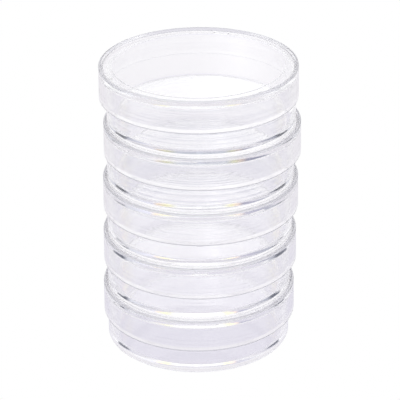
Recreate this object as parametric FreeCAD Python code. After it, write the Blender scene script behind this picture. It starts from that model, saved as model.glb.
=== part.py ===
"""A stack of five small clear petri dishes, each a base dish with a loose lid.

Units are millimetres, +Z is up. The origin is on the surface the stack stands on, at the middle of its footprint.
Dish 1 is the lowest. Every piece is one turned (revolved) wall with a few small moulded details on it.
"""

import FreeCAD, Part
import math
import os

from FreeCAD import Vector

# ---- the stack
DISHES = 5
TOUCH_GAP = 0.02  # air left between two faces that rest on each other

# ---- lid, measured down from its top rim
LID_R = 20.0
LID_HEIGHT = 6.68
LID_DRAFT = 0.08  # how much narrower the skirt is at the top
SKIRT_WALL = 0.50
SKIRT_INNER_DRAFT = 0.04
LEAD_IN = 0.16  # how much thinner the skirt is at its lower edge, on the inside
LEAD_IN_HEIGHT = 0.80
LEAD_IN_ROUND = 0.60
INSIDE_TOP_ROUND = 0.28  # where the skirt meets the plate, inside
TOP_EDGE_ROUND = 0.38
SKIRT_EDGE_ROUND = 0.12
PLATE_UNDERSIDE = 1.50
SEAT_DEPTH = 0.40  # the foot of the dish above stands this far below the rim
RIM_CREST_R = 19.42  # inner edge of the raised rim
SEAT_OUTER_R = 18.98
DISC_R = 17.30  # shallow raised disc that the foot of the dish above surrounds
DISC_DEPTH = 0.28
DISC_EDGE_SLOPE = 0.12

# ---- vent lugs under the lid and the moulding gate mark on its skirt
LUGS = 3
LUG_HEIGHT = 0.22
LUG_WIDTH = 3.0
LUG_INNER_R = 17.95
LUG_OUTER_R = 19.00
GATE_WIDTH = 1.30
GATE_HEIGHT = 0.12
GATE_FROM_LUG = -37.0  # degrees round the axis

# ---- base dish, measured up from its foot
BASE_HEIGHT = 10.66
BASE_FOOT_SIDE_R = 19.08
BASE_RIM_R = 18.95
BASE_WALL_AT_RIM = 0.88
INSIDE_FLOOR_R = 17.80
FLOOR_UNDERSIDE = 0.60
FLOOR_TOP = 1.50
FOOT_INNER_R = 17.60
FOOT_ROUND = 0.50
FOOT_INNER_ROUND = 0.25
INSIDE_CORNER_ROUND = 0.45
RIM_ROUND = 0.30

# ---- how each piece lies in the stack, lowest first: sideways slip in its seat, and turn of the lid in degrees
BASE_SLIP = (-0.50, -0.32, -0.02, 0.27, 0.52)
LID_SLIP = (-0.32, 0.00, 0.27, 0.70, 0.08)
LID_TURN = (92.0, 150.0, -54.0, 96.0, -45.0)

LID_ABOVE_BASE = BASE_HEIGHT + TOUCH_GAP + LUG_HEIGHT + PLATE_UNDERSIDE
PITCH = LID_ABOVE_BASE - SEAT_DEPTH + TOUCH_GAP
STACK_CENTRE = (max(LID_SLIP) + min(LID_SLIP)) / 2


def unit(start, end):
    """Direction from one profile point to another."""
    direction = end - start
    return direction.normalize()


def turned_solid(corners):
    """Solid of revolution about Z. Each corner is (radius, height, rounding); the outline is closed."""
    points = [Vector(r, 0, z) for r, z, rounding in corners]
    starts = []
    ends = []
    arcs = []
    for i, (r, z, rounding) in enumerate(corners):
        here = points[i]
        if not rounding:
            starts.append(here)
            ends.append(here)
            arcs.append(None)
            continue
        back = unit(here, points[i - 1])
        ahead = unit(here, points[(i + 1) % len(points)])
        half = back.getAngle(ahead) / 2
        into = here + back * (rounding / math.tan(half))
        out = here + ahead * (rounding / math.tan(half))
        middle = here + (back + ahead).normalize() * (rounding / math.sin(half) - rounding)
        starts.append(into)
        ends.append(out)
        arcs.append(Part.Arc(into, middle, out).toShape())
    edges = []
    for i, arc in enumerate(arcs):
        if arc:
            edges.append(arc)
        edges.append(Part.LineSegment(ends[i], starts[(i + 1) % len(starts)]).toShape())
    face = Part.Face(Part.Wire(edges))
    return face.revolve(Vector(0, 0, 0), Vector(0, 0, 1), 360)


def placed(shape, slip, height, turn=0.0):
    """The shape turned about Z, then moved sideways and up to its place in the stack."""
    copy = shape.copy()
    copy.rotate(Vector(0, 0, 0), Vector(0, 0, 1), turn)
    copy.translate(Vector(slip - STACK_CENTRE, 0, height))
    return copy


def lid_wall():
    """Flat plate with a raised rim, a seat for the next dish and a skirt; its rim is at height 0."""
    top_r = LID_R - LID_DRAFT
    inner_r = LID_R - SKIRT_WALL
    return turned_solid([
        (0, -DISC_DEPTH, 0),
        (DISC_R, -DISC_DEPTH, 0.15),
        (DISC_R + DISC_EDGE_SLOPE, -SEAT_DEPTH, 0.10),
        (SEAT_OUTER_R, -SEAT_DEPTH, 0.25),
        (RIM_CREST_R, 0, 0.10),
        (top_r, 0, TOP_EDGE_ROUND),
        (LID_R, -LID_HEIGHT, SKIRT_EDGE_ROUND),
        (inner_r + LEAD_IN, -LID_HEIGHT, SKIRT_EDGE_ROUND),
        (inner_r, LEAD_IN_HEIGHT - LID_HEIGHT, LEAD_IN_ROUND),
        (inner_r - SKIRT_INNER_DRAFT, -PLATE_UNDERSIDE, INSIDE_TOP_ROUND),
        (0, -PLATE_UNDERSIDE, 0),
    ])


def vent_lug():
    """Small block under the plate that holds the lid a little above the base's rim; it lies along +X."""
    sunk = 0.2
    block = Part.makeBox(LUG_OUTER_R - LUG_INNER_R, LUG_WIDTH, LUG_HEIGHT + sunk)
    block.translate(Vector(LUG_INNER_R, -LUG_WIDTH / 2, -PLATE_UNDERSIDE - LUG_HEIGHT))
    uprights = [e for e in block.Edges if abs(e.tangentAt(e.FirstParameter).z) > 0.9]
    return block.makeFillet(0.3, uprights)


def gate_mark():
    """Stub left on the skirt's lower edge where the lid was cut from its mould runner; it lies along +X."""
    sunk = 0.3
    edge_width = SKIRT_WALL - LEAD_IN
    depth = edge_width / 2
    stub = Part.makeBox(depth, GATE_WIDTH, GATE_HEIGHT + sunk)
    stub.translate(Vector(LID_R - edge_width / 2 - depth / 2, -GATE_WIDTH / 2, -LID_HEIGHT - GATE_HEIGHT))
    return stub


def lid():
    """One lid: wall, vent lugs and gate mark in one moulding."""
    extras = []
    for i in range(LUGS):
        lug = vent_lug()
        lug.rotate(Vector(0, 0, 0), Vector(0, 0, 1), i * 360.0 / LUGS)
        extras.append(lug)
    gate = gate_mark()
    gate.rotate(Vector(0, 0, 0), Vector(0, 0, 1), GATE_FROM_LUG)
    extras.append(gate)
    return lid_wall().fuse(extras).Solids[0]


def base():
    """One base dish: raised floor inside a foot ring, and a straight wall; its foot is at height 0."""
    return turned_solid([
        (0, FLOOR_UNDERSIDE, 0),
        (FOOT_INNER_R - 0.2, FLOOR_UNDERSIDE, 0.20),
        (FOOT_INNER_R, 0, FOOT_INNER_ROUND),
        (BASE_FOOT_SIDE_R, 0, FOOT_ROUND),
        (BASE_RIM_R, BASE_HEIGHT, RIM_ROUND),
        (BASE_RIM_R - BASE_WALL_AT_RIM, BASE_HEIGHT, RIM_ROUND),
        (INSIDE_FLOOR_R, FLOOR_TOP, INSIDE_CORNER_ROUND),
        (0, FLOOR_TOP, 0),
    ])


def stack():
    """Every piece by node name, in its place."""
    one_base = base()
    one_lid = lid()
    pieces = {}
    for i in range(DISHES):
        foot = i * PITCH
        name = "dish_%d" % (i + 1)
        pieces[name + "_base"] = placed(one_base, BASE_SLIP[i], foot)
        pieces[name + "_lid"] = placed(one_lid, LID_SLIP[i], foot + LID_ABOVE_BASE, LID_TURN[i])
    return pieces


os.makedirs("parts", exist_ok=True)
for node, shape in stack().items():
    shape.exportStep("parts/%s.step" % node)
    print(node, shape.isValid(), len(shape.Solids), round(shape.Volume, 1))
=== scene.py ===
"""Looks for the stack of five small clear petri dishes.

Each base and lid is a smooth turned moulding that replaces its CAD node and rides on the same body. The
studio is a white floor under a soft sky, as for a catalogue picture of clear labware.
"""

import math

import bpy
from mathutils import Matrix, Vector


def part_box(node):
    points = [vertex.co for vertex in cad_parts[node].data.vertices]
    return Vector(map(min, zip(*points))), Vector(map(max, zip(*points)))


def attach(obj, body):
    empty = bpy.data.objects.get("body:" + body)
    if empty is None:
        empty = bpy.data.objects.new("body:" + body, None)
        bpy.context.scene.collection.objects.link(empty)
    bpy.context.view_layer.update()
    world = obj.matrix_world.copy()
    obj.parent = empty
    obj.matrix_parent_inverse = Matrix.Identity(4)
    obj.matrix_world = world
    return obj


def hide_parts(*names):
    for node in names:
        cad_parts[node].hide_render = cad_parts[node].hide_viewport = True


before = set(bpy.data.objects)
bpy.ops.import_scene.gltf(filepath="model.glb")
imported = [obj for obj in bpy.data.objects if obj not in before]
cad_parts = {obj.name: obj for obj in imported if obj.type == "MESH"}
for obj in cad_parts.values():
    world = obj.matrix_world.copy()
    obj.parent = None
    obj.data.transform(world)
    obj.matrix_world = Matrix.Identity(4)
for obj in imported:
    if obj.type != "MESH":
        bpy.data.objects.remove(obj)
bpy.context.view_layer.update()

MM = 0.001

# ---- lid in millimetres, measured down from its top rim
LID_R = 20.0
LID_HEIGHT = 6.68
LID_DRAFT = 0.08  # how much narrower the skirt is at the top
SKIRT_WALL = 0.50
SKIRT_INNER_DRAFT = 0.04
LEAD_IN = 0.16  # how much thinner the skirt is at its lower edge, on the inside
LEAD_IN_HEIGHT = 0.80
LEAD_IN_ROUND = 0.60
INSIDE_TOP_ROUND = 0.28  # where the skirt meets the plate, inside
TOP_EDGE_ROUND = 0.38
SKIRT_EDGE_ROUND = 0.12
PLATE_UNDERSIDE = 1.50
SEAT_DEPTH = 0.40  # the foot of the dish above stands this far below the rim
SEAT_OUTER_R = 18.98
SEAT_OUTER_ROUND = 0.25
RIM_CREST_R = 19.42  # inner edge of the raised rim
RIM_CREST_ROUND = 0.10
DISC_R = 17.30  # shallow raised disc that the foot of the dish above surrounds
DISC_DEPTH = 0.28
DISC_EDGE_SLOPE = 0.12
DISC_EDGE_ROUND = 0.15
DISC_FOOT_ROUND = 0.10

LUGS = 3
LUG_HEIGHT = 0.22
LUG_WIDTH = 3.0
LUG_INNER_R = 17.95
LUG_OUTER_R = 19.00
GATE_WIDTH = 1.30
GATE_HEIGHT = 0.12
GATE_FROM_LUG = math.radians(-37.0)  # round the axis

# ---- base in millimetres, measured up from its foot
BASE_HEIGHT = 10.66
BASE_FOOT_SIDE_R = 19.08
BASE_RIM_R = 18.95
BASE_WALL_AT_RIM = 0.88
INSIDE_FLOOR_R = 17.80
FLOOR_UNDERSIDE = 0.60
FLOOR_TOP = 1.50
FOOT_INNER_R = 17.60
FOOT_INNER_SLOPE = 0.20
FOOT_ROUND = 0.50
FOOT_INNER_ROUND = 0.25
UNDERSIDE_ROUND = 0.20
INSIDE_CORNER_ROUND = 0.45
RIM_ROUND = 0.30

# ---- how each piece lies, lowest first: sideways slip in millimetres, and turn of the lid in degrees
DISHES = 5
BASE_SLIP = (-0.50, -0.32, -0.02, 0.27, 0.52)
LID_SLIP = (-0.32, 0.00, 0.27, 0.70, 0.08)
LID_TURN = (92.0, 150.0, -54.0, 96.0, -45.0)
STACK_CENTRE = (max(LID_SLIP) + min(LID_SLIP)) / 2  # middle of the stack's footprint

# ---- worn edges, 0 to 1, for haze and painted shade; heights in millimetres of two faint rub rings round the skirt
LID_RIM_WEAR_AND_SHADE = 0.9
SKIRT_EDGE_WEAR_AND_SHADE = 1.0
BASE_RIM_WEAR_AND_SHADE = 0.05
FOOT_SIDE_WEAR_AND_SHADE = 0.2
FOOT_INNER_WEAR_AND_SHADE = 0.4
WEAR_AND_SHADE_FADE = 0.10  # how far the worn edges, with their painted shade, reach beside a corner, in millimetres
RUB_LINES = (-4.25, -5.15)
RUB_HALF_WIDTH = 0.18
RUB_WEAR_AND_SHADE = 0.6

# ---- mesh, in millimetres where not said
ARC_STEP = math.radians(10)
TURN_STEPS = 480
DETAIL_EDGE = 0.12  # width of the steep side of a lug or gate mark
DETAIL_STEP = 0.06  # spacing of the mesh along that side
LUG_EDGE_RINGS = 6  # rings of points across each side of the lugs
MARGIN = 0.01  # slack when heights are compared, and how far beside a lug its rings start
SLOPE_STEP = 0.01  # half the distance over which a surface's slope is taken
UPRIGHT = 0.05  # a surface whose normal rises or falls less than this is a straight wall

# ---- clear polystyrene
REFRACTIVE_INDEX = 1.59
FLOW_RINGS = (9, 9, 900)  # noise cells per metre along x, y and z
FLOW_RING_DEPTH = 0.02 * MM
PATCHES = 240.0  # noise cells per metre
PATCH_RANGE = (0.35, 0.75)  # noise values that give the least and the most haze
HAZE = (0.01, 0.04)  # roughness
WORN_ROUGHNESS = 0.3
# painted shade: the darker base colour that the most worn edges and rub rings are given
WORN_EDGE_PAINTED_SHADE = (0.75, 0.75, 0.80, 1)

# ---- studio
STUDIO_STRENGTH = 1.35  # above 1, so that the plastic stays bright behind several walls
FLOOR_RADIUS = 15.0  # in metres, so that its edge is never in the picture
FLOOR_SIDES = 96
FLOOR_BELOW = 0.2 * MM  # how far it lies under the lowest foot
HORIZON_BLUR = 0.02  # sine of the angle over which table and sky blend, on each side of the horizon
DARK = (0.02, 0.03, 0.06)
# (degrees below the horizon, colour)
TABLE_DEPTH = [
    (0, (0.66, 0.65, 0.67)), (24, (0.62, 0.605, 0.635)), (31, (0.55, 0.535, 0.605)), (60, (0.54, 0.53, 0.58)),
]
# (degrees above the horizon, colour)
SKY_HEIGHT = [
    (0, (0.76, 0.76, 0.78)), (14, (0.95, 0.95, 0.95)), (23.9, (0.88, 0.88, 0.89)), (24.5, (0.32, 0.34, 0.42)),
    (25.4, (0.32, 0.34, 0.42)), (26.1, (1.0, 1.0, 0.98)), (31, (1.0, 1.0, 1.0)), (42, (0.84, 0.84, 0.85)),
]
# (degrees to the right of straight behind the stack, colour), seen only in the band that GAP_HEIGHT gives
SKY_TURN = [
    (-160, (0.6, 0.6, 0.64)), (-125, (0.92, 0.92, 0.94)), (-65, (0.85, 0.85, 0.88)), (-61, DARK), (-50, DARK),
    (-43, (0.34, 0.35, 0.42)), (-22, (0.40, 0.39, 0.50)), (-18, (1.0, 0.80, 0.66)), (-15, (1.0, 0.96, 0.62)),
    (-10, (1.0, 1.0, 1.0)), (11, (1.0, 1.0, 1.0)), (17, (1.0, 0.96, 0.60)), (22, (1.0, 0.82, 0.64)),
    (26, (0.70, 0.70, 0.82)), (43, (0.56, 0.57, 0.64)), (50, DARK), (61, DARK), (65, (0.88, 0.88, 0.91)),
    (125, (0.92, 0.92, 0.94)), (160, (0.6, 0.6, 0.64)),
]
# (degrees above the horizon, share of SKY_TURN that is seen)
GAP_HEIGHT = [(22.5, 0), (24, 1), (30.5, 1), (33, 0)]
# (degrees to the right of straight behind, brightness), a window that the flat top mirrors
WINDOW_TURN = [(-6, 0.97), (-1.5, 0.93), (-1.2, 1.0), (0.7, 1.0), (0.9, 1.16), (1.9, 1.16), (2.1, 0.97)]

# ---- camera and picture
CAMERA_TARGET = Vector((-0.09 * MM, 0, 30.0 * MM))
CAMERA_DISTANCE = 377.6 * MM
CAMERA_ELEVATION = math.radians(26.28)
CAMERA_ROLL = math.radians(0.6)
CAMERA_LENS = 165.0
CAMERA_SENSOR = 36.0
BOUNCES = 128  # enough for a ray to cross the whole stack


# ---------------------------------------------------------------- turned mouldings

def rounded_outline(corners):
    """Points along an outline of (radius, height, rounding, wear) corners, solid on the right.

    Each point comes with its surface normal and with how worn it is there, 0 to 1, for haze and painted
    shade.
    Wear fades out beside its corner, unless the next corner is as worn. The first and last corner lie on the
    axis.
    """
    points = [Vector((r, z)) for r, z, rounding, wear_and_shade in corners]
    outline = []
    for i, (r, z, rounding, wear_and_shade) in enumerate(corners):
        here = points[i]
        back = (points[i - 1] - here).normalized()
        ahead = (points[(i + 1) % len(points)] - here).normalized()
        normal = Vector((-ahead.y, ahead.x)) if i == 0 else Vector((back.y, -back.x))
        if not rounding:
            outline.append((here, normal, wear_and_shade))
            continue
        half = back.angle(ahead) / 2
        reach = rounding / math.tan(half)
        centre = here + (back + ahead).normalized() * (rounding / math.sin(half))
        first = here + back * reach - centre
        last = here + ahead * reach - centre
        sweep = first.angle_signed(last)
        outward = 1 if first.dot(normal) > 0 else -1
        steps = max(2, math.ceil(abs(sweep) / ARC_STEP))
        if wear_and_shade and wear_and_shade != corners[i - 1][3]:
            outline.append((here + back * (reach + WEAR_AND_SHADE_FADE), normal, 0.0))
        for k in range(steps + 1):
            arm = first.copy()
            arm.rotate(Matrix.Rotation(-sweep * k / steps, 2))
            outline.append((centre + arm, arm.normalized() * outward, wear_and_shade))
        if wear_and_shade and wear_and_shade != corners[i + 1][3]:
            outline.append((here + ahead * (reach + WEAR_AND_SHADE_FADE), last.normalized() * outward, 0.0))
    return outline


def smooth_step(t):
    """0 below 0, 1 above 1 and a smooth rise between."""
    t = min(max(t, 0.0), 1.0)
    return t * t * (3 - 2 * t)


def bump_between(x, low, high):
    """1 between low and high, falling to 0 over DETAIL_EDGE at each end."""
    return smooth_step((x - low) / DETAIL_EDGE) * smooth_step((high - x) / DETAIL_EDGE)


def around(angle, centre):
    """Angle from centre, in the range -pi to pi."""
    return (angle - centre + math.pi) % (2 * math.pi) - math.pi


def turn_angles(details):
    """Even angles round the axis, and more beside each (centre, half width in mm, radius in mm) detail."""
    angles = {round(2 * math.pi * i / TURN_STEPS, 6) for i in range(TURN_STEPS)}
    for centre, half_width, r in details:
        for side in (-1, 1):
            # from one step before the steep side to one step past it
            for k in range(-1, 4):
                offset = side * (half_width - DETAIL_EDGE + k * DETAIL_STEP) / r
                angles.add(round((centre + offset) % (2 * math.pi), 6))
    return sorted(angles)


def tilted(normal, drop, r, z, angle):
    """Surface normal of the turned outline at an angle, leaned over where drop slopes the surface."""
    slope_r = (drop(r - SLOPE_STEP, z, angle) - drop(r + SLOPE_STEP, z, angle)) / (2 * SLOPE_STEP)
    slope_t = (drop(r, z, angle - SLOPE_STEP / r) - drop(r, z, angle + SLOPE_STEP / r)) / (2 * SLOPE_STEP)
    return Vector((normal.x - slope_r * normal.y, -slope_t * normal.y, normal.y)).normalized()


def faces_between(inner, outer):
    """Faces between two neighbouring rings of points; a ring on the axis is a single point."""
    count = max(len(inner), len(outer))
    faces = []
    for j in range(count):
        k = (j + 1) % count
        if len(inner) == 1:
            faces.append((inner[0], outer[j], outer[k]))
        elif len(outer) == 1:
            faces.append((inner[j], outer[0], inner[k]))
        else:
            faces.append((inner[j], outer[j], outer[k], inner[k]))
    return faces


def turned_mesh(name, outline, angles, drop=None):
    """Mesh of the outline turned about Z, in metres. drop(r, z, angle) moves a point down, in millimetres.

    Two values stored at each point for the material: "wear", for haze and painted shade, and "upright", 1 on
    straight walls.
    """
    verts = []
    normals = []
    wear_and_shade_values = []
    uprights = []
    rings = []
    for (r, z), normal, wear_and_shade in outline:
        on_axis = r == 0
        ring = []
        for angle in [0.0] if on_axis else angles:
            down = drop(r, z, angle) if drop else 0.0
            leans = drop and not on_axis
            local = tilted(normal, drop, r, z, angle) if leans else Vector((normal.x, 0, normal.y))
            turn = Matrix.Rotation(angle, 3, "Z")
            ring.append(len(verts))
            verts.append(turn @ Vector((r * MM, 0, (z - down) * MM)))
            normals.append(turn @ local)
            wear_and_shade_values.append(wear_and_shade)
            uprights.append(1.0 if abs(normal.y) < UPRIGHT else 0.0)
        rings.append(ring)
    faces = []
    for inner, outer in zip(rings, rings[1:]):
        faces += faces_between(inner, outer)
    mesh = bpy.data.meshes.new(name)
    mesh.from_pydata(verts, [], faces)
    mesh.shade_smooth()
    mesh.normals_split_custom_set_from_vertices(normals)
    for label, values in (("wear_and_shade", wear_and_shade_values), ("upright", uprights)):
        mesh.attributes.new(label, "FLOAT", "POINT").data.foreach_set("value", values)
    return mesh


def lid_drop(r, z, angle):
    """How far the lid's surface is pushed down for its vent lugs and its gate mark."""
    down = 0.0
    if abs(z + PLATE_UNDERSIDE) < MARGIN and r > LUG_INNER_R - DETAIL_EDGE:
        across = bump_between(r, LUG_INNER_R - DETAIL_EDGE / 2, LUG_OUTER_R + DETAIL_EDGE / 2)
        for i in range(LUGS):
            along = around(angle, i * 2 * math.pi / LUGS) * r
            down += LUG_HEIGHT * across * bump_between(along, -LUG_WIDTH / 2, LUG_WIDTH / 2)
    if z < SKIRT_EDGE_ROUND - LID_HEIGHT:
        along = around(angle, GATE_FROM_LUG) * r
        low = smooth_step((SKIRT_EDGE_ROUND - LID_HEIGHT - z) / SKIRT_EDGE_ROUND)
        down += GATE_HEIGHT * low * bump_between(along, -GATE_WIDTH / 2, GATE_WIDTH / 2)
    return down


def rub_line(low, high, z):
    """Corners of a faint scuffed ring with painted shade at height z on the straight wall between two
    (radius, height) ends.
    """
    corners = []
    for rise, wear_and_shade in ((RUB_HALF_WIDTH, 0), (0, RUB_WEAR_AND_SHADE), (-RUB_HALF_WIDTH, 0)):
        share = (z + rise - low[1]) / (high[1] - low[1])
        corners.append((low[0] + share * (high[0] - low[0]), z + rise, 0, wear_and_shade))
    return corners


def lug_edge(r):
    """Extra rings of points under the plate, across one side of the lugs."""
    outer = r + DETAIL_EDGE / 2 + MARGIN
    return [(outer - k * DETAIL_STEP / 2, -PLATE_UNDERSIDE, 0, 0) for k in range(LUG_EDGE_RINGS)]


def lid_mesh():
    """Flat plate with a raised rim and a seat, a thin skirt, vent lugs under the plate and a gate mark."""
    top_r = LID_R - LID_DRAFT
    inner_r = LID_R - SKIRT_WALL
    skirt_ends = (LID_R, -LID_HEIGHT), (top_r, 0)
    outline = rounded_outline([
        (0, -DISC_DEPTH, 0, 0),
        (DISC_R, -DISC_DEPTH, DISC_EDGE_ROUND, 0),
        (DISC_R + DISC_EDGE_SLOPE, -SEAT_DEPTH, DISC_FOOT_ROUND, 0),
        (SEAT_OUTER_R, -SEAT_DEPTH, SEAT_OUTER_ROUND, 0),
        (RIM_CREST_R, 0, RIM_CREST_ROUND, LID_RIM_WEAR_AND_SHADE),
        (top_r, 0, TOP_EDGE_ROUND, LID_RIM_WEAR_AND_SHADE),
        *[corner for z in RUB_LINES for corner in rub_line(*skirt_ends, z)],
        (LID_R, -LID_HEIGHT, SKIRT_EDGE_ROUND, SKIRT_EDGE_WEAR_AND_SHADE),
        (inner_r + LEAD_IN, -LID_HEIGHT, SKIRT_EDGE_ROUND, SKIRT_EDGE_WEAR_AND_SHADE),
        (inner_r, LEAD_IN_HEIGHT - LID_HEIGHT, LEAD_IN_ROUND, 0),
        (inner_r - SKIRT_INNER_DRAFT, -PLATE_UNDERSIDE, INSIDE_TOP_ROUND, 0),
        *lug_edge(LUG_OUTER_R),
        *lug_edge(LUG_INNER_R),
        (0, -PLATE_UNDERSIDE, 0, 0),
    ])
    details = [(i * 2 * math.pi / LUGS, LUG_WIDTH / 2, LUG_OUTER_R) for i in range(LUGS)]
    details.append((GATE_FROM_LUG, GATE_WIDTH / 2, LID_R))
    return turned_mesh("lid", outline, turn_angles(details), lid_drop)


def base_mesh():
    """Raised floor inside a foot ring, and a straight wall with a rounded rim."""
    outline = rounded_outline([
        (0, FLOOR_TOP, 0, 0),
        (INSIDE_FLOOR_R, FLOOR_TOP, INSIDE_CORNER_ROUND, 0),
        (BASE_RIM_R - BASE_WALL_AT_RIM, BASE_HEIGHT, RIM_ROUND, BASE_RIM_WEAR_AND_SHADE),
        (BASE_RIM_R, BASE_HEIGHT, RIM_ROUND, BASE_RIM_WEAR_AND_SHADE),
        (BASE_FOOT_SIDE_R, 0, FOOT_ROUND, FOOT_SIDE_WEAR_AND_SHADE),
        (FOOT_INNER_R, 0, FOOT_INNER_ROUND, FOOT_INNER_WEAR_AND_SHADE),
        (FOOT_INNER_R - FOOT_INNER_SLOPE, FLOOR_UNDERSIDE, UNDERSIDE_ROUND, 0),
        (0, FLOOR_UNDERSIDE, 0, 0),
    ])
    return turned_mesh("base", outline, turn_angles([]))


# ---------------------------------------------------------------- material

def shader_node(tree, kind, **values):
    """New shader node, with the values of its input sockets."""
    made = tree.nodes.new(kind)
    for name, value in values.items():
        made.inputs[name.replace("_", " ")].default_value = value
    return made


def math_node(tree, operation, *values):
    """Result of a maths node on sockets or numbers."""
    made = tree.nodes.new("ShaderNodeMath")
    made.operation = operation
    for socket, value in zip(made.inputs, values):
        if isinstance(value, float):
            socket.default_value = value
        else:
            tree.links.new(value, socket)
    return made.outputs["Value"]


def stored(tree, label):
    """Socket with a value that turned_mesh stored at the mesh's points."""
    made = tree.nodes.new("ShaderNodeAttribute")
    made.attribute_name = label
    return made.outputs["Fac"]


def clear_polystyrene():
    """Polished clear polystyrene with faint turning lines from the mould, a little haze, and scuffed edges
    with painted shade.
    """
    material = bpy.data.materials.new("clear_polystyrene")
    material.use_nodes = True
    tree = material.node_tree
    shader = tree.nodes["Principled BSDF"]
    shader.inputs["IOR"].default_value = REFRACTIVE_INDEX
    shader.inputs["Transmission Weight"].default_value = 1.0
    position = tree.nodes.new("ShaderNodeTexCoord").outputs["Object"]
    wear_and_shade = stored(tree, "wear_and_shade")

    # flow rings round the straight walls: quick changes with height, slow ones sideways
    ring_space = shader_node(tree, "ShaderNodeMapping", Scale=FLOW_RINGS)
    rings = shader_node(tree, "ShaderNodeTexNoise", Scale=1.0, Detail=2.0, Roughness=0.5)
    bump = shader_node(tree, "ShaderNodeBump", Distance=FLOW_RING_DEPTH)
    tree.links.new(stored(tree, "upright"), bump.inputs["Strength"])
    tree.links.new(position, ring_space.inputs["Vector"])
    tree.links.new(ring_space.outputs["Vector"], rings.inputs["Vector"])
    tree.links.new(rings.outputs["Fac"], bump.inputs["Height"])
    tree.links.new(bump.outputs["Normal"], shader.inputs["Normal"])

    # haze: patchy over the surface, strong on the worn edges
    patches = shader_node(tree, "ShaderNodeTexNoise", Scale=PATCHES, Detail=2.0)
    haze = shader_node(tree, "ShaderNodeMapRange", From_Min=PATCH_RANGE[0], From_Max=PATCH_RANGE[1],
                       To_Min=HAZE[0], To_Max=HAZE[1])
    tree.links.new(position, patches.inputs["Vector"])
    tree.links.new(patches.outputs["Fac"], haze.inputs["Value"])
    worn = math_node(tree, "MULTIPLY_ADD", wear_and_shade, WORN_ROUGHNESS, haze.outputs["Result"])
    tree.links.new(worn, shader.inputs["Roughness"])

    # painted shade: the most worn edges and rub rings get a darker base colour
    painted_shade_share = math_node(tree, "MULTIPLY", wear_and_shade, wear_and_shade)
    tone = blend(tree, "MIX", painted_shade_share, (1.0, 1.0, 1.0, 1), WORN_EDGE_PAINTED_SHADE)
    tree.links.new(tone, shader.inputs["Base Color"])
    return material


# ---------------------------------------------------------------- the stack

def place(mesh, cad_node, slip, height, turn, material):
    """One moulding in its place: it stands for the CAD node of that name and rides on the same body."""
    piece = bpy.data.objects.new(cad_node.replace("dish", "clear_dish"), mesh.copy())
    bpy.context.scene.collection.objects.link(piece)
    move = Matrix.Translation(((slip - STACK_CENTRE) * MM, 0, height))
    piece.data.transform(move @ Matrix.Rotation(math.radians(turn), 4, "Z"))
    piece.data.materials.append(material)
    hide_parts(cad_node)
    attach(piece, cad_node)


def build_stack():
    """All ten mouldings, at the heights that the frame gives."""
    material = clear_polystyrene()
    base = base_mesh()
    lid = lid_mesh()
    for i in range(DISHES):
        base_node = "dish_%d_base" % (i + 1)
        lid_node = "dish_%d_lid" % (i + 1)
        place(base, base_node, BASE_SLIP[i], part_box(base_node)[0].z, 0.0, material)
        place(lid, lid_node, LID_SLIP[i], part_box(lid_node)[1].z, LID_TURN[i], material)


# ---------------------------------------------------------------- studio

def white_floor():
    """Evenly white floor without a shadow. The plastic shows the world's table tone in its place."""
    rim = []
    for i in range(FLOOR_SIDES):
        angle = 2 * math.pi * i / FLOOR_SIDES
        rim.append((FLOOR_RADIUS * math.cos(angle), FLOOR_RADIUS * math.sin(angle), -FLOOR_BELOW))
    mesh = bpy.data.meshes.new("floor")
    mesh.from_pydata(rim, [], [tuple(range(FLOOR_SIDES))])
    floor = bpy.data.objects.new("floor", mesh)
    bpy.context.scene.collection.objects.link(floor)
    floor.visible_transmission = False
    floor.visible_glossy = False
    floor.visible_diffuse = False
    material = bpy.data.materials.new("white_floor")
    material.use_nodes = True
    shader = material.node_tree.nodes["Principled BSDF"]
    shader.inputs["Base Color"].default_value = (0, 0, 0, 1)
    shader.inputs["Specular IOR Level"].default_value = 0
    shader.inputs["Emission Color"].default_value = (1, 1, 1, 1)
    shader.inputs["Emission Strength"].default_value = 1.0
    floor.data.materials.append(material)


def ramp(tree, value, stops):
    """Colour ramp over a 0 to 1 value, with (position, colour) stops and soft steps between them."""
    made = tree.nodes.new("ShaderNodeValToRGB")
    band = made.color_ramp
    band.interpolation = "EASE"
    for position, colour in stops[2:]:
        band.elements.new(position)
    for element, (position, colour) in zip(band.elements, stops):
        element.position = position
        element.color = (*colour, 1)
    tree.links.new(value, made.inputs["Fac"])
    return made.outputs["Color"]


def height_ramp(tree, height, stops):
    """Ramp over the angle above (or below) the horizon, with (degrees, colour) stops."""
    return ramp(tree, height, [(degrees / 90, colour) for degrees, colour in stops])


def turn_ramp(tree, turn, stops):
    """Ramp over the direction round the stack, with (degrees right of straight behind, colour) stops."""
    return ramp(tree, turn, [(0.5 + degrees / 360, colour) for degrees, colour in stops])


def greys(stops, scale=1.0):
    """The same stops with a grey colour in place of each single value."""
    return [(degrees, (value * scale,) * 3) for degrees, value in stops]


def blend(tree, kind, factor, a, b):
    """Result of a colour mix node; the factor and both colours are sockets or values."""
    made = tree.nodes.new("ShaderNodeMix")
    made.data_type = "RGBA"
    made.blend_type = kind
    for name, value in (("Factor", factor), ("A", a), ("B", b)):
        if isinstance(value, (float, tuple)):
            made.inputs[name].default_value = value
        else:
            tree.links.new(value, made.inputs[name])
    return made.outputs["Result"]


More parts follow.
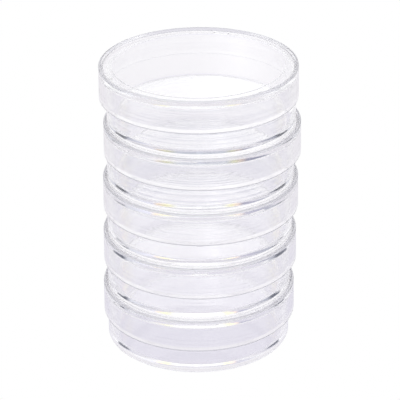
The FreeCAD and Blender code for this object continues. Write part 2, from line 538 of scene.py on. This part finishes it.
def soft_studio():
    """Light by direction: a pale table below, and a bright sky with a window and a dark gap on each side."""
    world = bpy.data.worlds.new("studio")
    world.use_nodes = True
    bpy.context.scene.world = world
    tree = world.node_tree
    direction = tree.nodes.new("ShaderNodeSeparateXYZ")
    tree.links.new(tree.nodes.new("ShaderNodeTexCoord").outputs["Generated"], direction.inputs["Vector"])
    across = math_node(tree, "ARCTAN2", direction.outputs["X"], direction.outputs["Y"])
    turn = math_node(tree, "ADD", math_node(tree, "DIVIDE", across, 2 * math.pi), 0.5)
    height = math_node(tree, "DIVIDE", math_node(tree, "ARCSINE", direction.outputs["Z"]), math.pi / 2)
    depth = math_node(tree, "MULTIPLY", height, -1.0)

    in_gap = height_ramp(tree, height, greys(GAP_HEIGHT))
    by_height = height_ramp(tree, height, SKY_HEIGHT)
    sky = blend(tree, "MULTIPLY", in_gap, by_height, turn_ramp(tree, turn, SKY_TURN))
    # a ramp ends at 1, so the window's brightness is halved in it and added to itself here
    window = turn_ramp(tree, turn, greys(WINDOW_TURN, 0.5))
    sky = blend(tree, "MULTIPLY", 1.0, blend(tree, "ADD", 1.0, window, window), sky)
    table = height_ramp(tree, depth, TABLE_DEPTH)
    level = math_node(tree, "ADD", direction.outputs["Z"], 0.5)
    above = ramp(tree, level, [(0.5 - HORIZON_BLUR, (0, 0, 0)), (0.5 + HORIZON_BLUR, (1, 1, 1))])
    background = tree.nodes["Background"]
    tree.links.new(blend(tree, "MIX", above, table, sky), background.inputs["Color"])
    background.inputs["Strength"].default_value = STUDIO_STRENGTH


def add_camera():
    """Camera in front of the stack, looking along +Y and down."""
    data = bpy.data.cameras.new("camera")
    data.lens = CAMERA_LENS
    data.sensor_width = CAMERA_SENSOR
    camera = bpy.data.objects.new("camera", data)
    bpy.context.scene.collection.objects.link(camera)
    back = Vector((0, -math.cos(CAMERA_ELEVATION), math.sin(CAMERA_ELEVATION)))
    place_at = Matrix.Translation(CAMERA_TARGET + back * CAMERA_DISTANCE)
    aim = (-back).to_track_quat("-Z", "Y").to_matrix().to_4x4()
    camera.matrix_world = place_at @ aim @ Matrix.Rotation(-CAMERA_ROLL, 4, "Z")
    bpy.context.scene.camera = camera


def set_picture():
    """Plain colours, and enough bounces for clear plastic."""
    scene = bpy.context.scene
    scene.view_settings.view_transform = "Standard"
    scene.view_settings.look = "None"
    scene.cycles.max_bounces = BOUNCES
    scene.cycles.transmission_bounces = BOUNCES
    scene.cycles.glossy_bounces = BOUNCES
    scene.cycles.use_denoising = True


build_stack()
white_floor()
soft_studio()
add_camera()
set_picture()
